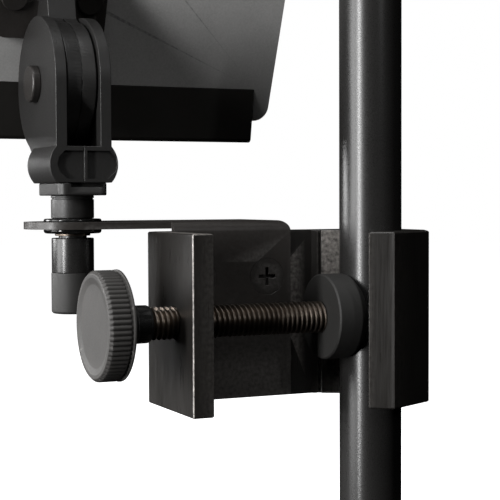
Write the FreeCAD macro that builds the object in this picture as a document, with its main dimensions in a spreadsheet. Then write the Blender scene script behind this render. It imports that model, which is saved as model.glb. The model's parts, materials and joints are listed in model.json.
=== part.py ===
import FreeCAD, Part
import os

import Sketcher

# A compact desk stand: a small tilting desk on a swivel post, carried by an arm plate on a
# screw clamp that grips a vertical tube. Millimetres, +Z up. The origin is the centre of the
# tube's lower end, +X runs along the clamp screw from the knob to the vee jaw, and the desk
# opens towards +Y.

os.makedirs("parts", exist_ok=True)
doc = FreeCAD.newDocument("music_stand")
sheet = doc.addObject("Spreadsheet::Sheet", "dim")

DIMENSIONS = {
    # upright tube
    "tube_radius": 9.525,
    "tube_bore": 8,
    "tube_length": 275,
    "socket_radius": 8.2,
    "socket_depth": 40,
    "plug_depth": 12,
    "plug_head": 2.6,
    "plug_round": 1.6,
    "fit_gap": 0.05,
    "body_gap": 0.25,
    # clamp frame
    "clamp_bottom": 142.2,
    "clamp_height": 51.8,
    "clamp_front": 14.4,
    "clamp_back": 24.2,
    "jaw_reach": 64.9,
    "jaw_thickness": 6.35,
    "web_front": 17.8,
    "corner_cut": 3.1,
    "edge_break": 0.35,
    "groove_left": 9.3,
    "groove_width": 0.8,
    "groove_depth": 0.8,
    "web_end": 11.28,
    "lip_left": 11.28,
    "lip_inner": 18.87,
    "lip_nose": 6.5,
    "lip_front": 22.1,
    "nose_right": 5.2,
    "nose_front": 23.3,
    "elbow_right": 12.07,
    "elbow_front": 14.4,
    "seat_flat": 12.5,
    "seat_front": 3.6,
    "outer_right": 18.5,
    "outer_front": 2,
    "outer_back": 12,
    "heel_right": 13,
    # clamp screw, knob and pad
    "screw_radius": 4.7625,
    "screw_start": 81.6,
    "screw_end": 17.4,
    "screw_chamfer": 0.8,
    "spigot_radius": 3.2,
    "spigot_length": 5.5,
    "pad_radius": 12.9,
    "pad_face": 17.36,
    "pad_end": 6.5,
    "pad_rim": 2.6,
    "pad_seat": 7.6,
    "clip_radius": 5.2,
    "clip_thickness": 0.8,
    "clip_depth": 3.4,
    "knob_radius": 15.9,
    "knob_length": 7.7,
    "knob_face": 89.5,
    "knob_dish": 90,
    "dish_depth": 0.75,
    "hub_radius": 8.8,
    "hub_neck": 5.5,
    "hub_flare": 4,
    "hub_length": 9,
    # arm plate
    "plate_thickness": 2.2,
    "plate_gap": 0.9,
    "flange_left": 58.5,
    "flange_right": 19.6,
    "flange_drop": 54.4,
    "arm_back": 46.4,
    "bend_radius": 3.4,
    "arm_corner": 3.2,
    "head_radius": 5.65,
    "shank_radius": 2.95,
    "head_cone": 1.9,
    "screw_one": 50.3,
    "screw_two": 27.7,
    "screws_drop": 14.2,
    "cross_width": 1.1,
    "cross_length": 5.6,
    "cross_depth": 1.6,
    # swivel post
    "post_x": 85.3,
    "post_y": 31,
    "post_radius": 6.35,
    "pin_radius": 4.2,
    "pin_bore": 2.6,
    "sleeve_top": 192.2,
    "bush_radius": 5.6,
    "flange_radius": 8.65,
    "upper_flange": 0.9,
    "lower_flange": 1.3,
    "collar_radius": 6.45,
    "retainer_radius": 5.3,
    "retainer_thickness": 0.6,
    "cap_radius": 6.5,
    "cap_bottom": 169.5,
    "cap_floor": 2,
    "cap_top": 181.8,
    # tilt head
    "tilt_y": 39.5,
    "tilt_height": 238.8,
    "base_bottom": 204.95,
    "base_half": 7.45,
    "base_corner": 2.5,
    "lug_bottom": 208.7,
    "lug_top": 219.4,
    "lug_half": 10.5,
    "lug_round": 8,
    "lug_front": 19,
    "lug_back": 43,
    "cheek_radius": 20.5,
    "cheek_outer": 8.5,
    "cheek_inner": 5.1,
    "drum_radius": 19,
    "drum_half": 4.5,
    "bolt_radius": 3,
    "bolt_head": 5.6,
    "bolt_head_height": 2.5,
    "nut_radius": 5.5,
    "nut_height": 3.4,
    "disc_radius": 13,
    "disc_thickness": 0.5,
    # desk, measured from the tilt axis while the panel stands upright
    "desk_lean": 21,
    "sheet_thickness": 1.5,
    "panel_back": 22,
    "panel_half": 81.4,
    "panel_top": 205,
    "ear_bottom": 17,
    "ear_width": 6.2,
    "bend_drop": 5.8,
    "panel_corner": 5,
    "ledge_drop": 24.3,
    "ledge_back": 18.4,
    "shelf_depth": 38,
    "lip_height": 11,
    "fold_radius": 1.6,
    "bracket_half": 18,
    "bracket_thickness": 2.5,
    "bracket_low": 9,
    "bracket_high": 66,
    "bracket_corner": 4,
    "rivet_radius": 2.4,
    "rivet_head": 4.2,
    "rivet_rise": 1.2,
    "rivet_spread": 12.2,
    "rivet_low": 22,
    "rivet_high": 56,
}

for row, (alias, number) in enumerate(DIMENSIONS.items(), start=1):
    sheet.set(f"A{row}", alias)
    sheet.set(f"B{row}", str(number))
    sheet.setAlias(f"B{row}", alias)
doc.recompute()

TURN_TO_X = FreeCAD.Rotation(FreeCAD.Vector(0, 1, 0), 90)
TURN_TO_Y = FreeCAD.Rotation(FreeCAD.Vector(1, 0, 0), -90)
UPRIGHT = FreeCAD.Rotation()

CLAMP_TOP = "(dim.clamp_bottom + dim.clamp_height)"
SCREW_HEIGHT = "(dim.clamp_bottom + dim.clamp_height / 2)"
PLATE_BOTTOM = f"({CLAMP_TOP} + dim.plate_gap)"
PLATE_TOP = f"({PLATE_BOTTOM} + dim.plate_thickness)"
POST_X = "-dim.post_x"
POST_Y = "dim.post_y"
TILT_Y = "dim.tilt_y"
TILT_Z = "dim.tilt_height"
AT_POST = (POST_X, POST_Y)

nodes = {}


def value(text):
    """The number that an expression on the sheet gives."""
    return float(sheet.evalExpression(text.replace("dim.", "")))


def bind(thing, **sizes):
    """Bind properties of a feature to expressions, and return the feature."""
    for name, text in sizes.items():
        thing.setExpression(name, text)
    return thing


def place(thing, spot, turn=UPRIGHT):
    """Put a feature at three bound coordinates, with a fixed turn."""
    thing.Placement = FreeCAD.Placement(FreeCAD.Vector(), turn)
    for axis, text in zip("xyz", spot):
        thing.setExpression(f".Placement.Base.{axis}", text)
    return thing


def rod(name, radius, length, spot, turn=UPRIGHT):
    """A bound cylinder; its axis is +Z unless turned."""
    thing = doc.addObject("Part::Cylinder", name)
    bind(thing, Radius=radius, Height=length)
    return place(thing, spot, turn)


def cone(name, start, end, length, spot, turn=UPRIGHT):
    """A bound cone from one radius to another."""
    thing = doc.addObject("Part::Cone", name)
    bind(thing, Radius1=start, Radius2=end, Height=length)
    return place(thing, spot, turn)


def block(name, size, spot, turn=UPRIGHT):
    """A bound box, placed by its lowest corner."""
    thing = doc.addObject("Part::Box", name)
    bind(thing, Length=size[0], Width=size[1], Height=size[2])
    return place(thing, spot, turn)


def join(name, *pieces):
    """One solid from several."""
    thing = doc.addObject("Part::MultiFuse", name)
    thing.Shapes = list(pieces)
    thing.Refine = True
    return thing


def cut(name, base, *tools):
    """A solid less one or more tools."""
    for number, tool in enumerate(tools, start=1):
        thing = doc.addObject("Part::Cut", f"{name}_cut_{number}")
        thing.Base = base
        thing.Tool = tool
        thing.Refine = True
        base = thing
    return base


def edges_where(shape, test):
    """Numbers of the edges that pass a test, counted from 1."""
    return [number for number, edge in enumerate(shape.Edges, start=1) if test(edge)]


def soften(name, base, radius, test, kind="Part::Fillet"):
    """Round or bevel the chosen edges of a solid."""
    doc.recompute()
    size = value(radius)
    thing = doc.addObject(kind, name)
    thing.Base = base
    thing.Edges = [(number, size, size) for number in edges_where(base.Shape, test)]
    return thing


def is_circle(radius, along=None, level=None):
    """A test for full circles of one radius, and if asked, at one level on an axis."""

    def test(edge):
        round_edge = isinstance(edge.Curve, Part.Circle) and edge.isClosed()
        if not round_edge or abs(edge.Curve.Radius - value(radius)) > 0.01:
            return False
        return level is None or abs(getattr(edge.Curve.Center, along) - value(level)) < 0.01

    return test


def is_upright(edge):
    """A straight edge that runs along Z."""
    if not isinstance(edge.Curve, Part.Line):
        return False
    return abs(edge.Curve.Direction.z) > 0.999


def origin_plane(body, role):
    return next(item for item in body.Origin.OriginFeatures if item.Role == role)


def outline(body, plane, corners, name="outline"):
    """A straight-sided closed sketch; each corner is pinned by two bound distances."""
    sketch = body.newObject("Sketcher::SketchObject", f"{body.Name}_{name}")
    sketch.AttachmentSupport = [(origin_plane(body, plane), "")]
    sketch.MapMode = "FlatFace"
    spots = [FreeCAD.Vector(value(across), value(up)) for across, up in corners]
    for start, end in zip(spots, spots[1:] + spots[:1]):
        sketch.addGeometry(Part.LineSegment(start, end))
    for index, corner in enumerate(corners):
        before = (index - 1) % len(corners)
        sketch.addConstraint(Sketcher.Constraint("Coincident", before, 2, index, 1))
        for kind, text in zip(("DistanceX", "DistanceY"), corner):
            pin = Sketcher.Constraint(kind, -1, 1, index, 1, value(text))
            number = sketch.addConstraint(pin)
            sketch.setExpression(f"Constraints[{number}]", text)
    return sketch


def prism(name, plane, corners, length, both_ways=False):
    """A PartDesign body: one closed outline padded to a bound length."""
    body = doc.addObject("PartDesign::Body", name)
    pad = body.newObject("PartDesign::Pad", f"{name}_pad")
    pad.Profile = outline(body, plane, corners)
    pad.Midplane = both_ways
    bind(pad, Length=length)
    return body


def keep(label, thing):
    """Give a finished solid the name of its sub-part."""
    thing.Label = label
    nodes[label] = thing
    return thing


# ---------------------------------------------------------------- upright tube


def make_upright():
    """The vertical tube, with a reamed socket at its foot, and the plug in its top."""
    outside = rod("tube_outside", "dim.tube_radius", "dim.tube_length", ("0", "0", "0"))
    inside = rod("tube_inside", "dim.tube_bore", "dim.tube_length", ("0", "0", "0"))
    socket = rod("tube_socket", "dim.socket_radius", "dim.socket_depth", ("0", "0", "0"))
    keep("upright_tube", cut("tube", outside, inside, socket))

    plug_base = "dim.tube_length - dim.plug_depth"
    stem_radius = "dim.tube_bore - dim.fit_gap"
    stem = rod("plug_stem", stem_radius, "dim.plug_depth + 0.5", ("0", "0", plug_base))
    head = rod("plug_disc", "dim.tube_radius", "dim.plug_head", ("0", "0", "dim.tube_length"))
    plug = join("plug_body", stem, head)
    top_edge = is_circle("dim.tube_radius", "z", "dim.tube_length + dim.plug_head")
    keep("upright_plug", soften("plug", plug, "dim.plug_round", top_edge))


# ---------------------------------------------------------------- clamp


def clamp_corners():
    """The clamp's plan: a flat jaw, a web and a vee jaw that meets the tube on two walls."""
    seat = "(dim.tube_radius + dim.body_gap)"
    on_rear = f"{seat} / cos(30deg) - tan(30deg) * " + "({})"
    groove_left = "-dim.groove_left"
    groove_right = "(-dim.groove_left + dim.groove_width)"
    outer = "-dim.jaw_reach"
    inner = "-dim.jaw_reach + dim.jaw_thickness"
    front = "-dim.clamp_front"
    nick = "dim.edge_break"
    return [
        (outer, f"{front} + {nick}"),
        (f"{outer} + {nick}", front),
        (inner, front),
        (inner, "dim.web_front"),
        ("-dim.web_end", "dim.web_front"),
        (groove_left, on_rear.format(groove_left)),
        (groove_left, on_rear.format(groove_left) + " + dim.groove_depth"),
        (groove_right, on_rear.format(groove_right) + " + dim.groove_depth"),
        (groove_right, on_rear.format(groove_right)),
        ("dim.seat_flat", on_rear.format("dim.seat_flat")),
        ("dim.seat_flat", "-dim.seat_front"),
        ("-dim.lip_left", "-dim.lip_inner"),
        ("-dim.lip_nose", "-dim.lip_front"),
        ("-dim.nose_right", "-dim.nose_front"),
        ("dim.elbow_right", "-dim.elbow_front"),
        ("dim.outer_right", "-dim.outer_front"),
        ("dim.outer_right", "dim.outer_back"),
        ("dim.heel_right", "dim.clamp_back"),
        (f"{outer} + dim.corner_cut", "dim.clamp_back"),
        (outer, "dim.clamp_back - dim.corner_cut"),
    ]


def make_clamp_frame():
    """The aluminium clamp frame, bored for the clamp screw and the two arm screws."""
    frame = prism("clamp", "XY_Plane", clamp_corners(), "dim.clamp_height")
    place(frame, ("0", "0", "dim.clamp_bottom"))
    doc.recompute()
    ends = [frame.Shape.BoundBox.ZMin, frame.Shape.BoundBox.ZMax]

    def on_an_end(edge):
        box = edge.BoundBox
        return any(abs(box.ZMin - end) + abs(box.ZMax - end) < 0.01 for end in ends)

    eased = soften("clamp_eased", frame, "dim.edge_break", on_an_end, "Part::Chamfer")
    screw_hole = rod(
        "clamp_screw_hole",
        "dim.screw_radius + dim.fit_gap",
        "dim.jaw_thickness + 2",
        ("-dim.jaw_reach - 1", "0", SCREW_HEIGHT),
        TURN_TO_X,
    )
    arm_holes = [
        rod(
            f"clamp_{side}_hole",
            "dim.shank_radius + dim.fit_gap",
            "dim.clamp_back - dim.web_front + 2",
            (f"-{side}", "dim.web_front - 1", f"{CLAMP_TOP} - dim.screws_drop"),
            TURN_TO_Y,
        )
        for side in ("dim.screw_one", "dim.screw_two")
    ]
    keep("clamp_frame", cut("clamp_frame_body", eased, screw_hole, *arm_holes))


# ---------------------------------------------------------------- arm plate and its screws


def make_arm():
    """The arm: a plate over the clamp's web, bent down in front of it, round at the post."""
    flange = block(
        "arm_flange",
        ("dim.flange_left - dim.flange_right", "dim.plate_thickness", "dim.flange_drop"),
        ("-dim.flange_left", "dim.web_front - dim.plate_thickness",
         f"{PLATE_TOP} - dim.flange_drop"),
    )
    strip = block(
        "arm_strip",
        ("dim.flange_left - dim.flange_right", "dim.plate_thickness", "dim.plate_thickness"),
        ("-dim.flange_left", "dim.web_front - dim.plate_thickness", PLATE_BOTTOM),
    )
    plate = block(
        "arm_plate",
        ("dim.post_x - dim.flange_right", "dim.arm_back - dim.web_front",
         "dim.plate_thickness"),
        (POST_X, "dim.web_front", PLATE_BOTTOM),
    )
    round_end = rod(
        "arm_end",
        "(dim.arm_back - dim.web_front) / 2",
        "dim.plate_thickness",
        (POST_X, "(dim.arm_back + dim.web_front) / 2", PLATE_BOTTOM),
    )
    blank = join("arm_blank", flange, strip, plate, round_end)

    def is_bend(edge):
        middle = edge.CenterOfMass
        level = abs(middle.z - value(PLATE_TOP)) < 0.01
        front = abs(middle.y - value("dim.web_front - dim.plate_thickness")) < 0.01
        return level and front

    bent = soften("arm_bent", blank, "dim.bend_radius", is_bend)

    def is_back_corner(edge):
        middle = edge.CenterOfMass
        right = abs(middle.x + value("dim.flange_right")) < 0.01
        return right and middle.y > value("dim.arm_back") - 0.01 and is_upright(edge)

    eased = soften("arm_eased", bent, "dim.arm_corner", is_back_corner)
    corner_depth = "dim.arm_back"
    corner_spot = ("-dim.flange_right - dim.arm_corner",
                   "dim.web_front - dim.plate_thickness - 0.5",
                   f"{PLATE_TOP} - dim.arm_corner")
    square = block("arm_corner_square", ("dim.arm_corner + 1", corner_depth,
                                         "dim.arm_corner + 1"), corner_spot)
    round_part = rod("arm_corner_round", "dim.arm_corner", corner_depth, corner_spot, TURN_TO_Y)
    corner = cut("arm_corner_tool", square, round_part)
    post_hole = rod(
        "arm_post_hole",
        "dim.bush_radius + dim.fit_gap",
        "dim.plate_thickness + 2",
        (*AT_POST, f"{PLATE_BOTTOM} - 1"),
    )
    tools = [post_hole, corner]
    for number, side in enumerate(("dim.screw_one", "dim.screw_two"), start=1):
        spot = (f"-{side}", "dim.web_front - dim.plate_thickness",
                f"{CLAMP_TOP} - dim.screws_drop")
        tools.append(rod(f"arm_hole_{number}", "dim.shank_radius + 0.15",
                         "dim.plate_thickness", spot, TURN_TO_Y))
        tools.append(cone(f"arm_sink_{number}", "dim.head_radius + 0.1",
                          "dim.shank_radius + 0.1", "dim.head_cone", spot, TURN_TO_Y))
    keep("arm_bracket", cut("arm", eased, *tools))


def make_arm_screws():
    """Two countersunk cross-head screws through the arm's flange into the clamp's web."""
    screws = []
    for number, side in enumerate(("dim.screw_one", "dim.screw_two"), start=1):
        front = "(dim.web_front - dim.plate_thickness)"
        height = f"({CLAMP_TOP} - dim.screws_drop)"
        spot = (f"-{side}", front, height)
        head = cone(f"arm_screw_head_{number}", "dim.head_radius", "dim.shank_radius",
                    "dim.head_cone", spot, TURN_TO_Y)
        shank = rod(f"arm_screw_shank_{number}", "dim.shank_radius",
                    "dim.clamp_back + 0.6 - dim.web_front + dim.plate_thickness",
                    spot, TURN_TO_Y)
        across = block(f"arm_screw_slot_{number}",
                       ("dim.cross_length", "dim.cross_depth", "dim.cross_width"),
                       (f"-{side} - dim.cross_length / 2", front,
                        f"{height} - dim.cross_width / 2"))
        upward = block(f"arm_screw_cross_{number}",
                       ("dim.cross_width", "dim.cross_depth", "dim.cross_length"),
                       (f"-{side} - dim.cross_width / 2", front,
                        f"{height} - dim.cross_length / 2"))
        solid = join(f"arm_screw_solid_{number}", head, shank)
        screws.append(cut(f"arm_screw_{number}", solid, across, upward))
    group = doc.addObject("Part::Compound", "arm_screw_pair")
    group.Links = screws
    keep("arm_screws", group)


# ---------------------------------------------------------------- clamp screw, knob and pad


def make_clamp_screw():
    """The clamp screw: a threaded rod with a plain spigot that turns in the pad."""
    thread = rod("screw_thread", "dim.screw_radius", "dim.screw_start - dim.screw_end",
                 ("-dim.screw_start", "0", SCREW_HEIGHT), TURN_TO_X)
    tip = soften("screw_tip", thread, "dim.screw_chamfer",
                 is_circle("dim.screw_radius", "x", "-dim.screw_end"), "Part::Chamfer")
    spigot = rod("screw_spigot", "dim.spigot_radius", "dim.spigot_length + 0.5",
                 ("-dim.screw_end - 0.5", "0", SCREW_HEIGHT), TURN_TO_X)
    keep("clamp_screw", join("screw", tip, spigot))


def make_pad():
    """The rubber pad on the screw's end, and the snap ring inside that holds it on."""
    left = "(-dim.pad_face)"
    disc = rod("pad_disc", "dim.pad_radius", "dim.pad_face - dim.pad_end",
               (left, "0", SCREW_HEIGHT), TURN_TO_X)
    far_rim = is_circle("dim.pad_radius", "x", "-dim.pad_end")
    rounded = soften("pad_rounded", disc, "dim.pad_rim", far_rim)
    bore = rod("pad_bore", "dim.spigot_radius + dim.fit_gap", "dim.spigot_length + 0.6",
               (f"{left} - 0.3", "0", SCREW_HEIGHT), TURN_TO_X)
    pocket = rod("pad_ring_pocket", "dim.clip_radius + 0.2", "dim.clip_thickness + 0.2",
                 (f"{left} + dim.clip_depth - 0.1", "0", SCREW_HEIGHT), TURN_TO_X)
    seat = block(
        "pad_seat",
        ("dim.tube_radius", "2 * dim.pad_seat", "2 * dim.pad_radius"),
        ("-dim.tube_radius - dim.body_gap", "-dim.pad_seat", f"{SCREW_HEIGHT} - dim.pad_radius"),
    )
    keep("pressure_pad", cut("pad", rounded, bore, pocket, seat))

    ring = rod("ring_outside", "dim.clip_radius", "dim.clip_thickness",
               (f"{left} + dim.clip_depth", "0", SCREW_HEIGHT), TURN_TO_X)
    ring_bore = rod("ring_bore", "dim.spigot_radius", "dim.clip_thickness + 2",
                    (f"{left} + dim.clip_depth - 1", "0", SCREW_HEIGHT), TURN_TO_X)
    keep("pad_snap_ring", cut("ring", ring, ring_bore))


def make_knob():
    """The ribbed knob and the moulded hub behind it that holds the screw's head."""
    face = "-dim.knob_face"
    rim = "(-dim.knob_face + dim.knob_length)"
    blank = rod("knob_blank", "dim.knob_radius", "dim.knob_length", (face, "0", SCREW_HEIGHT),
                TURN_TO_X)
    front_rim = is_circle("dim.knob_radius", "x", face)
    back_rim = is_circle("dim.knob_radius", "x", rim)
    front_eased = soften("knob_front", blank, "0.9", front_rim)
    eased = soften("knob_back", front_eased, "0.6", back_rim, "Part::Chamfer")
    dish = doc.addObject("Part::Sphere", "knob_dish")
    bind(dish, Radius="dim.knob_dish")
    place(dish, (f"{face} - dim.knob_dish + dim.dish_depth", "0", SCREW_HEIGHT))
    knob = cut("knob_body", eased, dish)
    keep("clamp_knob", knob)

    flare = cone("hub_flare_cone", "dim.hub_radius", "dim.hub_neck", "dim.hub_flare",
                 (rim, "0", SCREW_HEIGHT), TURN_TO_X)
    neck = rod("hub_neck_rod", "dim.hub_neck", "dim.hub_length - dim.hub_flare",
               (f"{rim} + dim.hub_flare", "0", SCREW_HEIGHT), TURN_TO_X)
    bore = rod("hub_bore", "dim.screw_radius", "dim.hub_length + 1",
               ("-dim.screw_start", "0", SCREW_HEIGHT), TURN_TO_X)
    hub = join("hub_solid", flare, neck)
    keep("knob_hub", cut("hub", hub, bore))


# ---------------------------------------------------------------- swivel post


def make_bush(label, face, direction, flange):
    """A flanged plastic bush that fills half of the arm's post hole."""
    half = "dim.plate_thickness / 2"
    upward = direction > 0
    barrel_base = face if not upward else f"{face} - {half}"
    flange_base = face if upward else f"{face} - {flange}"
    barrel = rod(f"{label}_barrel", "dim.bush_radius", half, (*AT_POST, barrel_base))
    disc = rod(f"{label}_disc", "dim.flange_radius", flange, (*AT_POST, flange_base))
    solid = join(f"{label}_solid", barrel, disc)
    outer_level = f"{face} + {flange}" if upward else f"{face} - {flange}"
    eased = soften(f"{label}_eased", solid, "dim.edge_break",
                   is_circle("dim.flange_radius", "z", outer_level))
    bore = rod(f"{label}_bore", "dim.pin_radius + dim.fit_gap", "10",
               (*AT_POST, f"{face} - 5"))
    keep(label, cut(f"{label}_part", eased, bore))


def make_post():
    """The swivel post with its collar above the arm, retainer below it and rubber end cap."""
    bottom = "(dim.cap_bottom + dim.cap_floor)"
    top = "(dim.lug_top - 2)"
    pin = rod("post_pin", "dim.pin_radius", f"{top} - {bottom}", (*AT_POST, bottom))
    sleeve = rod("post_sleeve", "dim.post_radius", "dim.sleeve_top - dim.cap_top",
                 (*AT_POST, "dim.cap_top"))
    inside = rod("post_inside", "dim.pin_bore", f"{top} - {bottom} + 2",
                 (*AT_POST, f"{bottom} - 1"))
    keep("desk_post", cut("post", join("post_outside", pin, sleeve), inside))

    def ring(name, radius, base, height):
        outside = rod(f"{name}_outside", radius, height, (*AT_POST, base))
        bore = rod(f"{name}_bore", "dim.pin_radius", f"{height} + 2", (*AT_POST, f"{base} - 1"))
        return cut(name, outside, bore)

    collar_base = f"({PLATE_TOP} + dim.upper_flange + 0.1)"
    keep("post_collar", ring("collar", "dim.collar_radius", collar_base,
                             f"dim.base_bottom - {collar_base}"))

    clip_base = f"({PLATE_BOTTOM} - dim.lower_flange - 0.1 - dim.retainer_thickness)"
    clip = ring("clip", "dim.retainer_radius", clip_base, "dim.retainer_thickness")
    mouth = block("clip_mouth", ("dim.pin_radius", "2 * dim.pin_radius", "4"),
                  (f"{POST_X} - dim.pin_radius / 2", POST_Y, f"{clip_base} - 1"))
    keep("post_circlip", cut("clip_open", clip, mouth))

    cap_blank = rod("cap_blank", "dim.cap_radius", "dim.cap_top - dim.cap_bottom",
                    (*AT_POST, "dim.cap_bottom"))
    cap_eased = soften("cap_eased", cap_blank, "0.9",
                       is_circle("dim.cap_radius", "z", "dim.cap_bottom"))
    cap_bore = rod("cap_bore", "dim.pin_radius", "20", (*AT_POST, bottom))
    keep("post_end_cap", cut("cap", cap_eased, cap_bore))


# ---------------------------------------------------------------- tilt head


def make_head_base():
    """The block that joins the yoke to the post."""
    base = block(
        "base_block",
        ("2 * dim.base_half", "dim.lug_back - dim.lug_front", "dim.lug_bottom - dim.base_bottom"),
        (f"{POST_X} - dim.base_half", "dim.lug_front", "dim.base_bottom"),
    )
    eased = soften("base_eased", base, "dim.base_corner", is_upright)
    bore = rod("base_bore", "dim.pin_radius", "20", (*AT_POST, "dim.base_bottom - 5"))
    keep("yoke_socket", cut("base", eased, bore))


def make_yoke_half(label, side):
    """Half of the moulded yoke: half the bulging lug, and the arched cheek that stands on it."""
    lug_left = POST_X if side > 0 else f"{POST_X} - dim.lug_half"
    depth = "dim.lug_back - dim.lug_front"
    lug_block = block(
        f"{label}_lug_block",
        ("dim.lug_half", depth, "dim.lug_top - dim.lug_bottom"),
        (lug_left, "dim.lug_front", "dim.lug_bottom"),
    )
    bulge = rod(
        f"{label}_bulge",
        "dim.lug_round",
        depth,
        (f"{POST_X} + {side} * (dim.lug_half - dim.lug_round)", "dim.lug_front",
         "(dim.lug_bottom + dim.lug_top) / 2"),
        TURN_TO_Y,
    )
    lug = doc.addObject("Part::MultiCommon", f"{label}_lug")
    lug.Shapes = [lug_block, bulge]

    cheek_left = f"{POST_X} + dim.cheek_inner" if side > 0 else f"{POST_X} - dim.cheek_outer"
    thickness = "dim.cheek_outer - dim.cheek_inner"
    arch = rod(f"{label}_arch", "dim.cheek_radius", thickness, (cheek_left, TILT_Y, TILT_Z),
               TURN_TO_X)
    front = f"{TILT_Y} - dim.cheek_radius"
    leg_corners = [
        (front, TILT_Z),
        (front, "dim.lug_top - 3"),
        ("dim.lug_back", "dim.lug_top - 3"),
        (f"{TILT_Y} + dim.cheek_radius * cos(40deg)",
         f"{TILT_Z} - dim.cheek_radius * sin(40deg)"),
        (TILT_Y, TILT_Z),
    ]
    leg = prism(f"{label}_leg", "YZ_Plane", leg_corners, thickness)
    place(leg, (cheek_left, "0", "0"))
    solid = join(f"{label}_solid", lug, arch, leg)
    post_hole = rod(f"{label}_post_hole", "dim.pin_radius", "20",
                    (*AT_POST, "dim.lug_top - 22"))
    bolt_hole = rod(f"{label}_bolt_hole", "dim.bolt_radius + dim.fit_gap", thickness + " + 2",
                    (f"{cheek_left} - 1", TILT_Y, TILT_Z), TURN_TO_X)
    keep(label, cut(f"{label}_part", solid, post_hole, bolt_hole))


def make_tilt_bolt():
    """The pivot bolt, its nut, and the friction discs each side of the drum."""
    head_left = f"({POST_X} - dim.cheek_outer - dim.bolt_head_height - 0.1)"
    head = rod("bolt_head_disc", "dim.bolt_head", "dim.bolt_head_height",
               (head_left, TILT_Y, TILT_Z), TURN_TO_X)
    head_eased = soften("bolt_head_eased", head, "0.8",
                        is_circle("dim.bolt_head", "x", head_left))
    shank = rod("bolt_shank", "dim.bolt_radius", "2 * dim.cheek_outer + 6.9",
                (f"{head_left} + 0.5", TILT_Y, TILT_Z), TURN_TO_X)
    keep("tilt_bolt", join("bolt", head_eased, shank))

    nut = doc.addObject("Part::Prism", "nut_hexagon")
    nut.Polygon = 6
    bind(nut, Circumradius="dim.nut_radius", Height="dim.nut_height")
    place(nut, (f"{POST_X} + dim.cheek_outer + 0.05", TILT_Y, TILT_Z), TURN_TO_X)
    nut_bore = rod("nut_bore", "dim.bolt_radius", "8",
                   (f"{POST_X} + dim.cheek_outer - 2", TILT_Y, TILT_Z), TURN_TO_X)
    keep("tilt_nut", cut("nut", nut, nut_bore))

    for label, left in (
        ("friction_disc_left", f"{POST_X} - dim.cheek_inner + 0.02"),
        ("friction_disc_right", f"{POST_X} + dim.drum_half + 0.08"),
    ):
        disc = rod(f"{label}_blank", "dim.disc_radius", "dim.disc_thickness",
                   (left, TILT_Y, TILT_Z), TURN_TO_X)
        hole = rod(f"{label}_hole", "dim.bolt_radius + dim.fit_gap", "3",
                   (f"{left} - 1", TILT_Y, TILT_Z), TURN_TO_X)
        keep(label, cut(f"{label}_part", disc, hole))


# ---------------------------------------------------------------- desk


def lean(thing):
    """Turn a desk piece, made upright about the origin, back on the tilt axis."""
    turn = FreeCAD.Rotation(FreeCAD.Vector(1, 0, 0), value("dim.desk_lean"))
    return place(thing, (POST_X, TILT_Y, TILT_Z), turn)


def leaning(name, thing):
    """A one-piece group that carries the desk's lean."""
    group = doc.addObject("Part::Compound", name)
    group.Links = [thing]
    return lean(group)


def make_drum():
    """The tilt drum between the cheeks, with the neck that carries the desk bracket."""
    drum = rod("drum_disc", "dim.drum_radius", "2 * dim.drum_half", ("-dim.drum_half", "0", "0"),
               TURN_TO_X)
    plate_front = "(dim.panel_back - dim.bracket_thickness)"
    neck_corners = [
        ("2", "-2"),
        (plate_front, "dim.bracket_low + 0.5"),
        (plate_front, "34"),
        (f"{plate_front} - 3", "34"),
        ("7", "19"),
        ("-4", "17.5"),
    ]
    neck = prism("drum_neck", "YZ_Plane", neck_corners, "2 * dim.drum_half", both_ways=True)
    solid = join("drum_solid", drum, neck)
    bore = rod("drum_bore", "dim.bolt_radius + dim.fit_gap", "20", ("-10", "0", "0"), TURN_TO_X)
    keep("tilt_drum", leaning("drum", cut("drum_part", solid, bore)))


def make_desk_bracket():
    """The flat bracket on the desk's back, and four rivets set flush in the panel's face."""
    plate = block(
        "bracket_plate",
        ("2 * dim.bracket_half", "dim.bracket_thickness", "dim.bracket_high - dim.bracket_low"),
        ("-dim.bracket_half", "dim.panel_back - dim.bracket_thickness", "dim.bracket_low"),
    )

    def is_corner(edge):
        direction = edge.Curve.Direction if isinstance(edge.Curve, Part.Line) else None
        return direction is not None and abs(direction.y) > 0.999

    eased = soften("bracket_eased", plate, "dim.bracket_corner", is_corner)
    holes = []
    rivets = []
    for number, (across, height) in enumerate(
        (side, level)
        for side in ("-dim.rivet_spread", "dim.rivet_spread")
        for level in ("dim.rivet_low", "dim.rivet_high")
    ):
        back = "dim.panel_back - dim.bracket_thickness"
        holes.append(rod(f"bracket_hole_{number}", "dim.rivet_radius", "20",
                         (across, f"{back} - 5", height), TURN_TO_Y))
        shank = rod(f"rivet_shank_{number}", "dim.rivet_radius",
                    "dim.rivet_rise + dim.bracket_thickness + dim.sheet_thickness",
                    (across, f"{back} - dim.rivet_rise", height), TURN_TO_Y)
        head = rod(f"rivet_head_{number}", "dim.rivet_head", "dim.rivet_rise",
                   (across, f"{back} - dim.rivet_rise", height), TURN_TO_Y)
        rivets.append(join(f"rivet_{number}", shank, head))
    keep("desk_bracket", leaning("bracket", cut("bracket_part", eased, *holes)))
    group = doc.addObject("Part::Compound", "rivet_group")
    group.Links = rivets
    keep("desk_rivets", lean(group))


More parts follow.
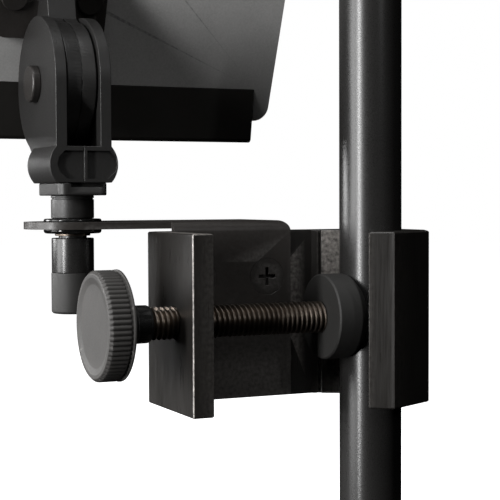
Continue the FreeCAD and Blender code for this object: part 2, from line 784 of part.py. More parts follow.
def make_panel():
    """The desk sheet: a plain rectangle, notched between its two lower ears."""
    inner_ear = "(dim.panel_half - dim.ear_width)"
    corners = [
        ("-dim.panel_half", "-dim.ear_bottom"),
        (f"-{inner_ear}", "-dim.ear_bottom"),
        (f"-{inner_ear}", "-dim.bend_drop"),
        (inner_ear, "-dim.bend_drop"),
        (inner_ear, "-dim.ear_bottom"),
        ("dim.panel_half", "-dim.ear_bottom"),
        ("dim.panel_half", "dim.panel_top"),
        ("-dim.panel_half", "dim.panel_top"),
    ]
    sheet_body = prism("panel", "XZ_Plane", corners, "dim.sheet_thickness")
    place(sheet_body, ("0", "dim.panel_back + dim.sheet_thickness", "0"))

    def is_outer_corner(edge):
        straight = isinstance(edge.Curve, Part.Line) and abs(edge.Curve.Direction.y) > 0.999
        return straight and abs(edge.CenterOfMass.x) > value("dim.panel_half") - 0.01

    rounded = soften("panel_rounded", sheet_body, "dim.panel_corner", is_outer_corner)
    holes = [
        rod(f"panel_hole_{number}", "dim.rivet_radius", "20",
            (across, "dim.panel_back - 5", height), TURN_TO_Y)
        for number, (across, height) in enumerate(
            (side, level)
            for side in ("-dim.rivet_spread", "dim.rivet_spread")
            for level in ("dim.rivet_low", "dim.rivet_high")
        )
    ]
    keep("desk_panel", leaning("panel_leaning", cut("panel_part", rounded, *holes)))


def make_ledge():
    """The ledge: a skirt below the panel, a shelf towards the reader and its raised lip."""
    thick = "dim.sheet_thickness"
    back = "dim.panel_back"
    skirt = "dim.ledge_back"
    shelf_end = "(dim.ledge_back + dim.shelf_depth)"
    corners = [
        (back, "-dim.bend_drop"),
        (skirt, "-dim.ledge_drop"),
        (shelf_end, "-dim.ledge_drop"),
        (shelf_end, "-dim.ledge_drop + dim.lip_height"),
        (f"{shelf_end} - {thick}", "-dim.ledge_drop + dim.lip_height"),
        (f"{shelf_end} - {thick}", f"-dim.ledge_drop + {thick}"),
        (f"{skirt} + {thick} + 0.3", f"-dim.ledge_drop + {thick}"),
        (f"{back} + {thick}", "-dim.bend_drop"),
    ]
    width = "2 * (dim.panel_half - dim.ear_width) - 0.2"
    ledge = prism("ledge", "YZ_Plane", corners, width, both_ways=True)

    def is_fold(edge):
        middle = edge.CenterOfMass
        along = isinstance(edge.Curve, Part.Line) and abs(edge.Curve.Direction.x) > 0.999
        low = abs(middle.z + value("dim.ledge_drop")) < 0.01
        return along and low

    folded = soften("ledge_folded", ledge, "dim.fold_radius", is_fold)
    keep("desk_ledge", leaning("ledge_leaning", folded))


make_upright()
make_clamp_frame()
make_arm()
make_arm_screws()
make_clamp_screw()
make_pad()
make_knob()
make_bush("swivel_bush_upper", PLATE_TOP, 1, "dim.upper_flange")
make_bush("swivel_bush_lower", PLATE_BOTTOM, -1, "dim.lower_flange")
make_post()
make_head_base()
make_yoke_half("yoke_left", -1)
make_yoke_half("yoke_right", 1)
make_tilt_bolt()
make_drum()
make_desk_bracket()
make_panel()
make_ledge()
doc.recompute()

for thing in doc.Objects:
    if "Invalid" in thing.State or "Error" in thing.State:
        raise RuntimeError(f"{thing.Name} failed: {thing.State}")
for label, thing in nodes.items():
    shape = thing.Shape
    if shape.isNull() or not shape.isValid() or not shape.Solids:
        raise RuntimeError(f"{label} has no valid solid")
    shape.exportStep(f"parts/{label}.step")
    print(label, len(shape.Solids), round(shape.Volume, 1))
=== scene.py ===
import bmesh
import bpy
import json
import math
from mathutils import Matrix, Vector


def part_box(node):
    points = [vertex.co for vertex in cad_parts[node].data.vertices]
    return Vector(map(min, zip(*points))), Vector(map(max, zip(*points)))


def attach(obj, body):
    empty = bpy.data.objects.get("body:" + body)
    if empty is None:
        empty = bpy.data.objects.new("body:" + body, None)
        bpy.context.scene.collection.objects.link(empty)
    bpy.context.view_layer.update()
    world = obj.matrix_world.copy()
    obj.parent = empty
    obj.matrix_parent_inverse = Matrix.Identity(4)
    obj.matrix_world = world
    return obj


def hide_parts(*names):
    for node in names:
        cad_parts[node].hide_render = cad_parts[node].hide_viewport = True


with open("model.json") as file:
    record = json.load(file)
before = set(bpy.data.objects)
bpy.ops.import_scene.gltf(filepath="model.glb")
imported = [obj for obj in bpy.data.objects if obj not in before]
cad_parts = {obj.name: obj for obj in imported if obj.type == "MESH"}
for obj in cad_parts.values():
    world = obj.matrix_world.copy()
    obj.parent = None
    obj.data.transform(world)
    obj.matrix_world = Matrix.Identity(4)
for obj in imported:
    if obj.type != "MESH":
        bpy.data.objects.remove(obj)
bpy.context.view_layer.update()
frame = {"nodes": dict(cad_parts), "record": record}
NODES = frame["nodes"]
MM = 0.001

# ---------------------------------------------------------------- places, read from the frame


def middle(node):
    low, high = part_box(node)
    return (low + high) / 2


def span(node):
    low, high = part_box(node)
    return high - low


TUBE_LOW, TUBE_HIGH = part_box("upright_tube")
TUBE_RADIUS = TUBE_HIGH.x
TUBE_BORE = 8.0
SOCKET_RADIUS = 8.2
SOCKET_DEPTH = 40
SCREW = middle("clamp_screw")
TILT = middle("tilt_bolt")
PIN_RADIUS = 4.2
PIN_BORE = 2.6
BUSH_RADIUS = 5.6
BUSH_FLANGES = {"swivel_bush_upper": 0.9, "swivel_bush_lower": 1.3}
SPIGOT_LENGTH = 5.5
SPIGOT_RADIUS = 3.2
BODY_GAP = 0.25
DRUM_RADIUS = 19

ALONG_X = Matrix.Rotation(math.pi / 2, 4, "Y")
UP = Matrix.Identity(4)


def axis_x(x, node):
    """A frame whose +Z runs along the row's +X, centred on a node's axis."""
    centre = middle(node)
    return Matrix.Translation((x, centre.y, centre.z)) @ ALONG_X


def axis_z(z, node):
    """An upright frame on a node's axis."""
    centre = middle(node)
    return Matrix.Translation((centre.x, centre.y, z))


# ---------------------------------------------------------------- mesh helpers


def add_piece(name, bm, node, material, smooth_below=32):
    """Turn a bmesh into a piece that stands for a CAD node and rides on its body."""
    bmesh.ops.recalc_face_normals(bm, faces=bm.faces)
    mesh = bpy.data.meshes.new(name)
    bm.to_mesh(mesh)
    bm.free()
    mesh.polygons.foreach_set("use_smooth", [True] * len(mesh.polygons))
    mesh.set_sharp_from_angle(angle=math.radians(smooth_below))
    mesh.materials.append(material)
    piece = bpy.data.objects.new(name, mesh)
    bpy.context.scene.collection.objects.link(piece)
    body = next(b for b, names in frame["record"]["behaviour"]["bodies"].items() if node in names)
    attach(piece, body)
    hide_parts(node)
    return piece


def soft_path(corners, closed=True, steps=6):
    """A path through (across, up, radius) corners, each rounded by an arc of its radius."""
    path = []
    count = len(corners)
    for index, (x, y, radius) in enumerate(corners):
        here = Vector((x, y))
        at_end = not closed and index in (0, count - 1)
        if radius <= 0 or at_end:
            path.append(here)
            continue
        before = Vector(corners[index - 1][:2]) - here
        after = Vector(corners[(index + 1) % count][:2]) - here
        before.normalize()
        after.normalize()
        half = math.acos(max(-1, min(1, before.dot(after)))) / 2
        run = radius / math.tan(half)
        centre = here + (before + after).normalized() * (radius / math.sin(half))
        first = here + before * run - centre
        last = here + after * run - centre
        sweep = math.atan2(first.x * last.y - first.y * last.x, first.dot(last))
        for step in range(steps + 1):
            turn = Matrix.Rotation(sweep * step / steps, 2)
            path.append(centre + turn @ first)
    return path


def lathe_bmesh(profile, place, around=128, closed=False, radius_at=None):
    """A turned surface from (along, radius) stations; closed joins its last to its first."""
    bm = bmesh.new()
    rings = []
    for along, radius in profile:
        if radius < 1e-6:
            rings.append([bm.verts.new(place @ Vector((0, 0, along)))])
            continue
        ring = []
        for step in range(around):
            angle = 2 * math.pi * step / around
            r = radius if radius_at is None else radius_at(along, radius, step)
            spot = Vector((r * math.cos(angle), r * math.sin(angle), along))
            ring.append(bm.verts.new(place @ spot))
        rings.append(ring)
    pairs = list(zip(rings, rings[1:]))
    if closed:
        pairs.append((rings[-1], rings[0]))
    for first, second in pairs:
        for step in range(around):
            after = (step + 1) % around
            corners = [first[step % len(first)], first[after % len(first)],
                       second[after % len(second)], second[step % len(second)]]
            unique = list(dict.fromkeys(corners))
            if len(unique) > 2:
                bm.faces.new(unique)
    return bm


def turned(name, node, corners, place, material, around=128, closed=False):
    """A turned piece from (along, radius, rounding) corners in millimetres."""
    path = soft_path(corners, closed=closed, steps=5)
    profile = [(point.x * MM, max(point.y, 0) * MM) for point in path]
    return add_piece(name, lathe_bmesh(profile, place, around, closed), node, material)


def eased(name, node, material, width=0.25, sharp_above=30, segments=3):
    """A CAD node's own solid with every sharp edge rounded by a small bevel."""
    bm = bmesh.new()
    bm.from_mesh(NODES[node].data)
    bmesh.ops.remove_doubles(bm, verts=bm.verts, dist=1e-6)
    bmesh.ops.dissolve_limit(bm, angle_limit=math.radians(0.6), verts=bm.verts, edges=bm.edges)
    limit = math.radians(sharp_above)
    sharp = [
        edge for edge in bm.edges
        if len(edge.link_faces) == 2 and edge.calc_face_angle(0) > limit
    ]
    bmesh.ops.bevel(bm, geom=sharp, offset=width * MM, segments=segments, profile=0.5,
                    affect="EDGES", clamp_overlap=True)
    piece = add_piece(name, bm, node, material)
    level_normals(piece)
    return piece


def level_normals(piece):
    """Weight the normals by face area, so flat faces shade flat beside their bevels."""
    modifier = piece.modifiers.new("level_normals", "WEIGHTED_NORMAL")
    modifier.mode = "FACE_AREA"
    modifier.weight = 100
    modifier.keep_sharp = True


def without(piece, tool_bm):
    """Cut a bmesh's solid out of a piece."""
    mesh = bpy.data.meshes.new("tool")
    bmesh.ops.recalc_face_normals(tool_bm, faces=tool_bm.faces)
    tool_bm.to_mesh(mesh)
    tool_bm.free()
    tool = bpy.data.objects.new("tool", mesh)
    bpy.context.scene.collection.objects.link(tool)
    modifier = piece.modifiers.new("recess", "BOOLEAN")
    modifier.object = tool
    modifier.operation = "DIFFERENCE"
    modifier.solver = "EXACT"
    graph = bpy.context.evaluated_depsgraph_get()
    result = bpy.data.meshes.new_from_object(piece.evaluated_get(graph))
    piece.modifiers.clear()
    piece.data = result
    piece.data.polygons.foreach_set("use_smooth", [True] * len(result.polygons))
    piece.data.set_sharp_from_angle(angle=math.radians(32))
    bpy.data.objects.remove(tool)
    bpy.data.meshes.remove(mesh)
    level_normals(piece)
    return piece


# ---------------------------------------------------------------- materials


def new_material(name):
    material = bpy.data.materials.new(name)
    material.use_nodes = True
    tree = material.node_tree
    shader = tree.nodes["Principled BSDF"]
    return material, tree, shader


def noise(tree, scale, detail=3.0, stretch=(1, 1, 1), roughness=0.5):
    """Noise on the piece's own coordinates; scale counts features per metre."""
    place = tree.nodes.new("ShaderNodeTexCoord")
    mapping = tree.nodes.new("ShaderNodeMapping")
    mapping.inputs["Scale"].default_value = stretch
    texture = tree.nodes.new("ShaderNodeTexNoise")
    texture.inputs["Scale"].default_value = scale
    texture.inputs["Detail"].default_value = detail
    texture.inputs["Roughness"].default_value = roughness
    tree.links.new(place.outputs["Object"], mapping.inputs["Vector"])
    tree.links.new(mapping.outputs["Vector"], texture.inputs["Vector"])
    return texture.outputs["Fac"]


def spread(tree, source, low, high, from_low=0.3, from_high=0.7):
    """Map a texture value onto a range."""
    node = tree.nodes.new("ShaderNodeMapRange")
    node.inputs["From Min"].default_value = from_low
    node.inputs["From Max"].default_value = from_high
    node.inputs["To Min"].default_value = low
    node.inputs["To Max"].default_value = high
    tree.links.new(source, node.inputs["Value"])
    return node.outputs["Result"]


def blend_colours(tree, factor, first, second):
    node = tree.nodes.new("ShaderNodeMix")
    node.data_type = "RGBA"
    for socket, colour in ((node.inputs[6], first), (node.inputs[7], second)):
        if isinstance(colour, bpy.types.NodeSocket):
            tree.links.new(colour, socket)
        else:
            socket.default_value = (*colour, 1)
    tree.links.new(factor, node.inputs[0])
    return node.outputs[2]


def bump(tree, shader, *layers):
    """Stack (height source, strength, depth in millimetres) layers into the normal."""
    normal = None
    for source, strength, depth in layers:
        node = tree.nodes.new("ShaderNodeBump")
        node.inputs["Strength"].default_value = strength
        node.inputs["Distance"].default_value = depth * MM
        tree.links.new(source, node.inputs["Height"])
        if normal is not None:
            tree.links.new(normal, node.inputs["Normal"])
        normal = node.outputs["Normal"]
    tree.links.new(normal, shader.inputs["Normal"])


def edges_worn_and_highlit(tree, colour, worn_and_highlit_colour, start=0.53, end=0.6):
    """Lighter colour where the surface turns a convex corner: edge wear, and on the screw's oxide
    steel also a painted highlight along the thread crests.
    """
    geometry = tree.nodes.new("ShaderNodeNewGeometry")
    factor = spread(tree, geometry.outputs["Pointiness"], 0, 1, start, end)
    patches = noise(tree, 900, 4)
    product = tree.nodes.new("ShaderNodeMath")
    product.operation = "MULTIPLY"
    tree.links.new(factor, product.inputs[0])
    tree.links.new(spread(tree, patches, 0.15, 1.0), product.inputs[1])
    return blend_colours(tree, product.outputs[0], colour, worn_and_highlit_colour)


def shade(colour, factor):
    return tuple(channel * factor for channel in colour)


def coating(name, colour, roughness, specular=0.5, metallic=0.0, grain=1800, grain_depth=0.02,
            peel=420, peel_depth=0.05, stretch=(1, 1, 1), variation=0.18, wear_and_highlight=None,
            rough_swing=0.07):
    """A painted, moulded or anodised surface: tint, grain, orange peel and uneven gloss."""
    material, tree, shader = new_material(name)
    fine = noise(tree, grain, 3, stretch)
    broad = noise(tree, peel, 2, stretch)
    cloud = noise(tree, 60, 4)
    tint = blend_colours(tree, spread(tree, cloud, 0, 1), shade(colour, 1 - variation),
                         shade(colour, 1 + variation))
    tint = blend_colours(tree, spread(tree, fine, 0, 0.35), tint, shade(colour, 1.5))
    # Edge colour: wear on the edges, and on the oxide steel also a painted highlight on the thread
    # crests.
    if wear_and_highlight:
        tint = edges_worn_and_highlit(tree, tint, wear_and_highlight)
    tree.links.new(tint, shader.inputs["Base Color"])
    tree.links.new(spread(tree, fine, roughness - rough_swing, roughness + rough_swing),
                   shader.inputs["Roughness"])
    shader.inputs["Metallic"].default_value = metallic
    shader.inputs["Specular IOR Level"].default_value = specular
    bump(tree, shader, (broad, 0.35, peel_depth), (fine, 0.4, grain_depth))
    return material


TUBE_PAINT = coating("tube_paint", (0.016, 0.0155, 0.015), 0.3, specular=0.6, grain=2600,
                     grain_depth=0.003,
                     peel=400, peel_depth=0.006, variation=0.1, rough_swing=0.04)
ANODISED = coating("black_anodised", (0.02, 0.0185, 0.017), 0.34, metallic=0.2,
                   grain=2200, grain_depth=0.02, stretch=(1, 1, 0.04), peel=500,
                   peel_depth=0.012, wear_and_highlight=(0.32, 0.3, 0.28))
POWDER = coating("black_powder", (0.03, 0.027, 0.025), 0.36, grain=1500, peel=330,
                 peel_depth=0.16, wear_and_highlight=(0.10, 0.095, 0.09))
# The light edge colour of the oxide steel paints the highlight on the thread crests, together with
# edge wear.
OXIDE = coating("black_oxide_steel", (0.17, 0.14, 0.115), 0.36, metallic=1.0, grain=3000,
                grain_depth=0.01, variation=0.3, wear_and_highlight=(0.5, 0.44, 0.38))
BLACK_SCREW = coating("black_screw", (0.035, 0.032, 0.03), 0.4, metallic=0.3, grain=2600,
                      grain_depth=0.03, wear_and_highlight=(0.1, 0.095, 0.09))
RUBBER = coating("rubber", (0.018, 0.0175, 0.0165), 0.62, grain=2600, grain_depth=0.06,
                 peel=900, peel_depth=0.05, variation=0.25)
KNOB = coating("knob_plastic", (0.036, 0.034, 0.032), 0.62, grain=2000, grain_depth=0.05,
               peel=350, peel_depth=0.12, variation=0.3, wear_and_highlight=(0.14, 0.135, 0.13))
GLOSS = coating("gloss_plastic", (0.012, 0.012, 0.012), 0.16, grain=2400, grain_depth=0.004,
                peel=200, peel_depth=0.01, rough_swing=0.03)
MOULDED = coating("moulded_plastic", (0.017, 0.0165, 0.016), 0.46, grain=2100,
                  grain_depth=0.05, peel=700, peel_depth=0.05)
# The panel and the ledge are one black-coated sheet: the panel's light grey is a painted
# reflection of the lamps, and the ledge's deeper black is painted shade.
DESK_LIT_GREY = coating("desk_grey", (0.42, 0.417, 0.41), 0.42, grain=1600, peel=260,
                    peel_depth=0.05, variation=0.08, wear_and_highlight=(0.2, 0.2, 0.2))
LEDGE_SHADED_BLACK = coating("ledge_shaded_black", (0.017, 0.016, 0.0145), 0.6, specular=0.2, grain=1500,
                      peel=300, peel_depth=0.08)

# ---------------------------------------------------------------- upright


def make_upright():
    """The painted tube with its reamed socket, and the plug in its top."""
    length = span("upright_tube").z / MM
    outer = TUBE_RADIUS / MM
    wall = [
        (0, outer - 0.2, 0.1), (0.25, outer, 0.15), (length - 0.3, outer, 0.2),
        (length, outer - 0.3, 0.15), (length, TUBE_BORE, 0.05),
        (SOCKET_DEPTH + 0.2, TUBE_BORE, 0.05), (SOCKET_DEPTH - 0.1, SOCKET_RADIUS, 0.05),
        (0, SOCKET_RADIUS, 0.1),
    ]
    turned("upright_tube_painted", "upright_tube", wall, UP, TUBE_PAINT, closed=True)
    low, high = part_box("upright_plug")
    total = (high.z - low.z) / MM
    rise = (high.z - TUBE_HIGH.z) / MM
    plug = [
        (0, 0, 0), (0, outer - 2.2, 0.5), (total - rise, outer - 1.6, 0),
        (total - rise, outer, 0.3),
        (total, outer, 1.8), (total - 0.15, 2.5, 0.4), (total - 0.5, 0, 0),
    ]
    turned("upright_plug_moulded", "upright_plug", plug, axis_z(low.z, "upright_plug"), MOULDED)


# ---------------------------------------------------------------- clamp screw, knob, pad

THREAD_PITCH = 1.5875
THREAD_DEPTH = 0.92


def thread_bmesh(start, end, place, steps=40):
    """A helical thread between two stations, cut square and closed at both ends."""
    outer = span("clamp_screw").y / 2
    inner = outer - THREAD_DEPTH * MM
    pitch = THREAD_PITCH * MM
    flank = [(0.0, inner), (0.1, inner), (0.42, outer), (0.58, outer), (0.9, inner)]
    turns = math.ceil((end - start) / pitch) + 2
    bm = bmesh.new()
    columns = []
    for step in range(turns * steps + 1):
        angle = 2 * math.pi * step / steps
        advance = start - pitch + pitch * step / steps
        column = []
        for share, radius in flank:
            spot = Vector((radius * math.cos(angle), radius * math.sin(angle),
                           advance + share * pitch))
            column.append(bm.verts.new(place @ spot))
        columns.append(column)
    for index, column in enumerate(columns[:-1]):
        after = columns[index + 1]
        for low, high in zip(range(4), range(1, 5)):
            bm.faces.new((column[low], after[low], after[high], column[high]))
        if index + steps + 1 < len(columns):
            turn_on = columns[index + steps]
            turn_after = columns[index + steps + 1]
            bm.faces.new((column[4], after[4], turn_after[0], turn_on[0]))
    normal = (place.to_3x3() @ Vector((0, 0, 1))).normalized()
    for level, sign in ((start, -1), (end, 1)):
        bmesh.ops.bisect_plane(
            bm, geom=bm.verts[:] + bm.edges[:] + bm.faces[:], dist=1e-8,
            plane_co=place @ Vector((0, 0, level)), plane_no=normal * sign, clear_outer=True,
        )
        rim = [edge for edge in bm.edges if edge.is_boundary and all(
            abs((place.inverted() @ vert.co).z - level) < 1e-6 for vert in edge.verts)]
        bmesh.ops.edgeloop_fill(bm, edges=rim)
    return bm


def make_screw():
    """The threaded rod, with the spigot that turns in the pad."""
    low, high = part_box("clamp_screw")
    spigot = SPIGOT_LENGTH * MM
    place = axis_x(0, "clamp_screw")
    bm = thread_bmesh(low.x, high.x - spigot, place)
    radius = SPIGOT_RADIUS * MM
    first = high.x - spigot - 0.3 * MM
    stations = [(first, 0), (first, radius), (high.x - 0.4 * MM, radius),
                (high.x, radius - 0.4 * MM), (high.x, 0)]
    spigot_bm = lathe_bmesh(stations, place, 48)
    mesh = bpy.data.meshes.new("spigot")
    spigot_bm.to_mesh(mesh)
    spigot_bm.free()
    bm.from_mesh(mesh)
    bpy.data.meshes.remove(mesh)
    add_piece("clamp_screw_threaded", bm, "clamp_screw", OXIDE, smooth_below=28)


RIBS = 64
RIB_STEPS = 6


def make_knob():
    """The knob: a plain dished face inside a rim, a barrel of fine ribs and a rear lip."""
    low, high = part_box("clamp_knob")
    outer = (high.y - low.y) / 2 / MM
    length = (high.x - low.x) / MM
    corners = [
        (0.75, 0, 0), (0.55, outer - 4, 2), (0.0, outer - 2.2, 0.5), (0.0, outer - 1.1, 0.5),
        (0.9, outer - 0.15, 0.4), (length - 1.6, outer - 0.15, 0.3),
        (length - 1.3, outer - 0.7, 0.1),
        (length - 0.9, outer - 0.7, 0.1), (length - 0.7, outer, 0.1), (length - 0.15, outer, 0.15),
        (length, outer - 0.5, 0.2), (length, 0, 0),
    ]
    path = soft_path(corners, closed=False, steps=3)
    extra = []
    for first, second in zip(path, path[1:]):
        extra.append(first)
        gap = (second - first).length
        for part in range(1, int(gap // 2.0) + 1):
            extra.append(first.lerp(second, part / (int(gap // 2.0) + 1)))
    extra.append(path[-1])
    rib_start = 0.35 * MM
    rib_end = (length - 1.45) * MM

    def ribbed(along, radius, step):
        on_barrel = rib_start < along < rib_end and radius > (outer - 1.2) * MM
        if not on_barrel:
            return radius
        phase = (step % RIB_STEPS) / RIB_STEPS
        depth = 0.55 * MM * (1 - abs(math.sin(math.pi * phase)) ** 0.7)
        return radius - depth

    profile = [(point.x * MM, max(point.y, 0) * MM) for point in extra]
    bm = lathe_bmesh(profile, axis_x(low.x, "clamp_knob"), RIBS * RIB_STEPS,
                     radius_at=ribbed)
    add_piece("clamp_knob_ribbed", bm, "clamp_knob", KNOB, smooth_below=40)

    low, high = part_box("knob_hub")
    wide = (high.y - low.y) / 2 / MM
    length = (high.x - low.x) / MM
    hub = [
        (0, 4.8, 0), (0, wide, 0.2), (1.1, wide - 0.6, 0.9), (3.4, 6.2, 1.6), (4.4, 5.5, 1.2),
        (length - 0.7, 5.45, 0.5), (length, 5.1, 0.2), (length, 4.8, 0),
    ]
    turned("knob_hub_moulded", "knob_hub", hub, axis_x(low.x, "knob_hub"), GLOSS, closed=True)


def make_pad():
    """The rubber pad: a flat face to the knob, a well-rounded rim to the tube."""
    low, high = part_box("pressure_pad")
    length = (high.x - low.x) / MM
    outer = (high.y - low.y) / 2 / MM
    pad = [
        (5.8, 0, 0), (5.8, 3.28, 0.1), (0.15, 3.28, 0.1), (0, 4.9, 0.1), (0, outer - 0.45, 0.2),
        (0.45, outer, 0.3), (length - 3.0, outer, 1.6), (length, outer - 3.0, 1.8),
        (length, 0, 0),
    ]
    piece = turned("pressure_pad_moulded", "pressure_pad", pad, axis_x(low.x, "pressure_pad"),
                   RUBBER)
    saddle = TUBE_RADIUS + BODY_GAP * MM
    tool = lathe_bmesh([(low.z - MM, 0), (low.z - MM, saddle), (high.z + MM, saddle),
                        (high.z + MM, 0)], UP, 96)
    without(piece, tool)
    ring_low, ring_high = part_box("pad_snap_ring")
    thick = (ring_high.x - ring_low.x) / MM
    ring = [(0, 3.25, 0), (0, 5.1, 0.15), (thick, 5.1, 0.15), (thick, 3.25, 0)]
    turned("pad_snap_ring_turned", "pad_snap_ring", ring, axis_x(ring_low.x, "pad_snap_ring"),
           OXIDE, 64, closed=True)


# ---------------------------------------------------------------- clamp frame, arm, its screws


def make_clamp():
    """The clamp's frame, the arm bent over it, and the two screws between them."""
    eased("clamp_frame_anodised", "clamp_frame", ANODISED, 0.3)
    eased("arm_bracket_coated", "arm_bracket", POWDER, 0.3)
    eased("arm_screws_driven", "arm_screws", BLACK_SCREW, 0.12)


def make_bushes():
    """The flanged bushes above and below the arm plate."""
    for node, flange in BUSH_FLANGES.items():
        low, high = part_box(node)
        wide = (high.x - low.x) / 2 / MM
        total = (high.z - low.z) / MM
        barrel = total - flange
        bore = PIN_RADIUS + 0.05
        rings = [
            (0, bore, 0), (0, BUSH_RADIUS, 0), (barrel, BUSH_RADIUS, 0.1), 
            (barrel, wide, 0.3),
            (total, wide, flange * 0.6), (total, bore + 0.8, 0.2), (total - 0.3, bore, 0),
        ]
        if node.endswith("lower"):
            rings = [(total - along, radius, soft) for along, radius, soft in reversed(rings)]
        turned(f"{node}_moulded", node, rings, axis_z(low.z, node), GLOSS, closed=True)


# ---------------------------------------------------------------- swivel post


def make_post():
    """The swivel post with its sleeve, collar, rubber end cap and spring clip."""
    low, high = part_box("desk_post")
    outer = (high.x - low.x) / 2 / MM
    total = (high.z - low.z) / MM
    sleeve_low = (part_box("post_end_cap")[1].z - low.z) / MM
    sleeve_high = (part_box("post_circlip")[0].z - low.z) / MM - 0.7
    wall = [
        (0, PIN_BORE, 0), (0, PIN_RADIUS, 0.2), (sleeve_low, PIN_RADIUS, 0),
        (sleeve_low, outer, 0.2), (sleeve_high, outer, 0.3), (sleeve_high, PIN_RADIUS, 0),
        (total, PIN_RADIUS, 0.2), (total, PIN_BORE, 0),
    ]
    turned("desk_post_painted", "desk_post", wall, axis_z(low.z, "desk_post"), TUBE_PAINT,
           closed=True)

    low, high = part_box("post_collar")
    wide = (high.x - low.x) / 2 / MM
    total = (high.z - low.z) / MM
    collar = [
        (0, PIN_RADIUS, 0), (0, wide, 0.35), (total - 1.2, wide, 0.1),
        (total - 1.1, wide - 0.3, 0), (total - 0.8, wide - 0.3, 0), (total - 0.7, wide, 0.1),
        (total, wide, 0.2), (total, PIN_RADIUS, 0),
    ]
    turned("post_collar_moulded", "post_collar", collar, axis_z(low.z, "post_collar"), MOULDED,
           closed=True)

    low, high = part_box("post_end_cap")
    wide = (high.x - low.x) / 2 / MM
    total = (high.z - low.z) / MM
    cap = [
        (0.3, 0, 0), (0, wide - 2, 0.4), (0, wide, 0.9), (total, wide, 0.25),
        (total, PIN_RADIUS + 0.01, 0), (2, PIN_RADIUS + 0.01, 0), (2, 0, 0),
    ]
    turned("post_end_cap_moulded", "post_end_cap", cap, axis_z(low.z, "post_end_cap"), RUBBER)
    eased("post_circlip_sprung", "post_circlip", OXIDE, 0.1)


# ---------------------------------------------------------------- tilt head


def prism_bmesh(outline, start, end):
    """A solid from an (x, z) outline in the row, run along Y between two stations."""
    bm = bmesh.new()
    near = [bm.verts.new((x, start, z)) for x, z in outline]
    far = [bm.verts.new((x, end, z)) for x, z in outline]
    bm.faces.new(near)
    bm.faces.new(list(reversed(far)))
    count = len(outline)
    for index in range(count):
        after = (index + 1) % count
        bm.faces.new((near[index], far[index], far[after], near[after]))
    return bm


def make_head():
    """The moulded yoke with its two recesses, the drum between the cheeks, and the pivot."""
    base = eased("yoke_socket_moulded", "yoke_socket", MOULDED, 0.4)
    low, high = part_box("yoke_socket")
    centre = TILT.x
    front = low.y
    slot = [(-5.2, -1.3), (5.2, -1.3), (5.2, 1), (-5.2, 1)]
    outline = [(centre + x * MM, high.z + z * MM) for x, z in slot]
    without(base, prism_bmesh(outline, front - MM, front + 1.6 * MM))
    for node, side in (("yoke_left", -1), ("yoke_right", 1)):
        piece = eased(f"{node}_moulded", node, MOULDED, 0.45, segments=4)
        pocket = [
            (-0.2, 1.1), (6.3, 1.1), (8.6, 3.2), (9.3, 5.4), (8.8, 7.6), (7.0, 9.4), (-0.2, 9.4),
        ]
        outline = [(centre + side * x * MM, high.z + z * MM) for x, z in pocket]
        without(piece, prism_bmesh(outline, front - MM, front + 1.1 * MM))
    drum = eased("tilt_drum_moulded", "tilt_drum", MOULDED, 0.35, segments=4)
    drum_low, drum_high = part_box("tilt_drum")
    parting = 0.25 * MM
    radius = DRUM_RADIUS * MM
    tool = lathe_bmesh([(-parting, radius - 0.35 * MM), (-parting, radius + MM),
                        (parting, radius + MM), (parting, radius - 0.35 * MM)],
                       Matrix.Translation(((drum_low.x + drum_high.x) / 2, TILT.y, TILT.z))
                       @ ALONG_X, 128, closed=True)
    without(drum, tool)
    for node in ("tilt_bolt", "tilt_nut"):
        eased(f"{node}_turned", node, BLACK_SCREW, 0.2)
    for node in ("friction_disc_left", "friction_disc_right"):
        eased(f"{node}_pressed", node, MOULDED, 0.1)


# ---------------------------------------------------------------- desk


def make_desk():
    """The sheet-metal panel, the folded ledge, and the riveted bracket."""
    # The panel's grey and the ledge's black are a painted-lit and a painted-shade copy of one
    # sheet's black coat.
    eased("desk_panel_coated", "desk_panel", DESK_LIT_GREY, 0.3)
    eased("desk_ledge_folded", "desk_ledge", LEDGE_SHADED_BLACK, 0.3)
    eased("desk_bracket_coated", "desk_bracket", POWDER, 0.4)
    eased("desk_rivets_set", "desk_rivets", BLACK_SCREW, 0.35)


# ---------------------------------------------------------------- stage, light and camera

EYE = Vector((-0.2100, -0.3675, 0.20355))
YAW = math.radians(24.733)
PITCH = math.radians(-2.104)
ROLL = math.radians(-0.207)
LENS = 98.85
CAMERA_SIDE = math.atan2(-EYE.x, -EYE.y)


def make_floor():
    """A plain pale floor, seen but not mirrored by the object."""
    mesh = bpy.data.meshes.new("floor")
    bm = bmesh.new()
    bmesh.ops.create_circle(bm, cap_ends=True, segments=96, radius=6)
    bm.to_mesh(mesh)
    bm.free()
    floor = bpy.data.objects.new("floor", mesh)
    floor.location.z = TUBE_LOW.z
    bpy.context.scene.collection.objects.link(floor)
    material, tree, shader = new_material("pale_floor")
    shader.inputs["Base Color"].default_value = (0.9, 0.9, 0.9, 1)
    shader.inputs["Roughness"].default_value = 0.9
    shader.inputs["Emission Color"].default_value = (1, 1, 1, 1)
    shader.inputs["Emission Strength"].default_value = 1.0
    material.cycles.emission_sampling = "NONE"
    mesh.materials.append(material)
    floor.visible_diffuse = False
    floor.visible_glossy = False


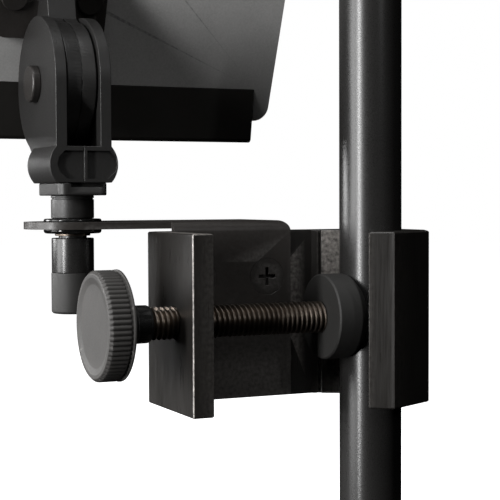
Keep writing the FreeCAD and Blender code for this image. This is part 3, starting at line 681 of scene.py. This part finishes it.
def make_world():
    world = bpy.data.worlds.new("studio")
    bpy.context.scene.world = world
    world.use_nodes = True
    background = world.node_tree.nodes["Background"]
    background.inputs["Color"].default_value = (1, 1, 1, 1)
    background.inputs["Strength"].default_value = 1.0
    world.cycles_visibility.diffuse = False
    world.cycles_visibility.glossy = False


def soft_light(name, side, height, distance, width, tall, power, aim):
    """An area light at an angle left of the camera's line of sight, facing a point."""
    angle = CAMERA_SIDE + math.radians(side)
    spot = aim + Vector((-math.sin(angle), -math.cos(angle), 0)) * distance
    spot.z = aim.z + height
    data = bpy.data.lights.new(name, "AREA")
    data.shape = "RECTANGLE"
    data.size = width
    data.size_y = tall
    data.energy = power
    light = bpy.data.objects.new(name, data)
    light.location = spot
    light.rotation_mode = "QUATERNION"
    light.rotation_quaternion = (aim - spot).to_track_quat("-Z", "Y")
    bpy.context.scene.collection.objects.link(light)
    return light


def make_lights():
    aim = Vector((SCREW.x, SCREW.y, SCREW.z))
    soft_light("key", 40.7, 0.14, 1.3, 0.13, 1.0, 20, aim)
    soft_light("key_wide", 68, 0.2, 1.4, 0.7, 1.0, 15, aim)
    soft_light("second", -44, 0.75, 1.3, 0.06, 0.5, 1.6, aim)
    soft_light("rim", 106, 0.4, 1.2, 0.5, 0.7, 16, aim)
    soft_light("top", 20, 1.3, 0.35, 0.9, 0.9, 14, aim)


def make_camera():
    data = bpy.data.cameras.new("camera")
    data.sensor_width = 36
    data.lens = LENS
    data.clip_start = 0.01
    camera = bpy.data.objects.new("camera", data)
    camera.location = EYE
    turn = Matrix.Rotation(-YAW, 4, "Z") @ Matrix.Rotation(math.pi / 2 + PITCH, 4, "X")
    camera.rotation_euler = (turn @ Matrix.Rotation(ROLL, 4, "Z")).to_euler()
    bpy.context.scene.collection.objects.link(camera)
    bpy.context.scene.camera = camera


make_upright()
make_screw()
make_knob()
make_pad()
make_clamp()
make_bushes()
make_post()
make_head()
make_desk()
make_floor()
make_world()
make_lights()
make_camera()
bpy.context.scene.view_settings.view_transform = "Standard"
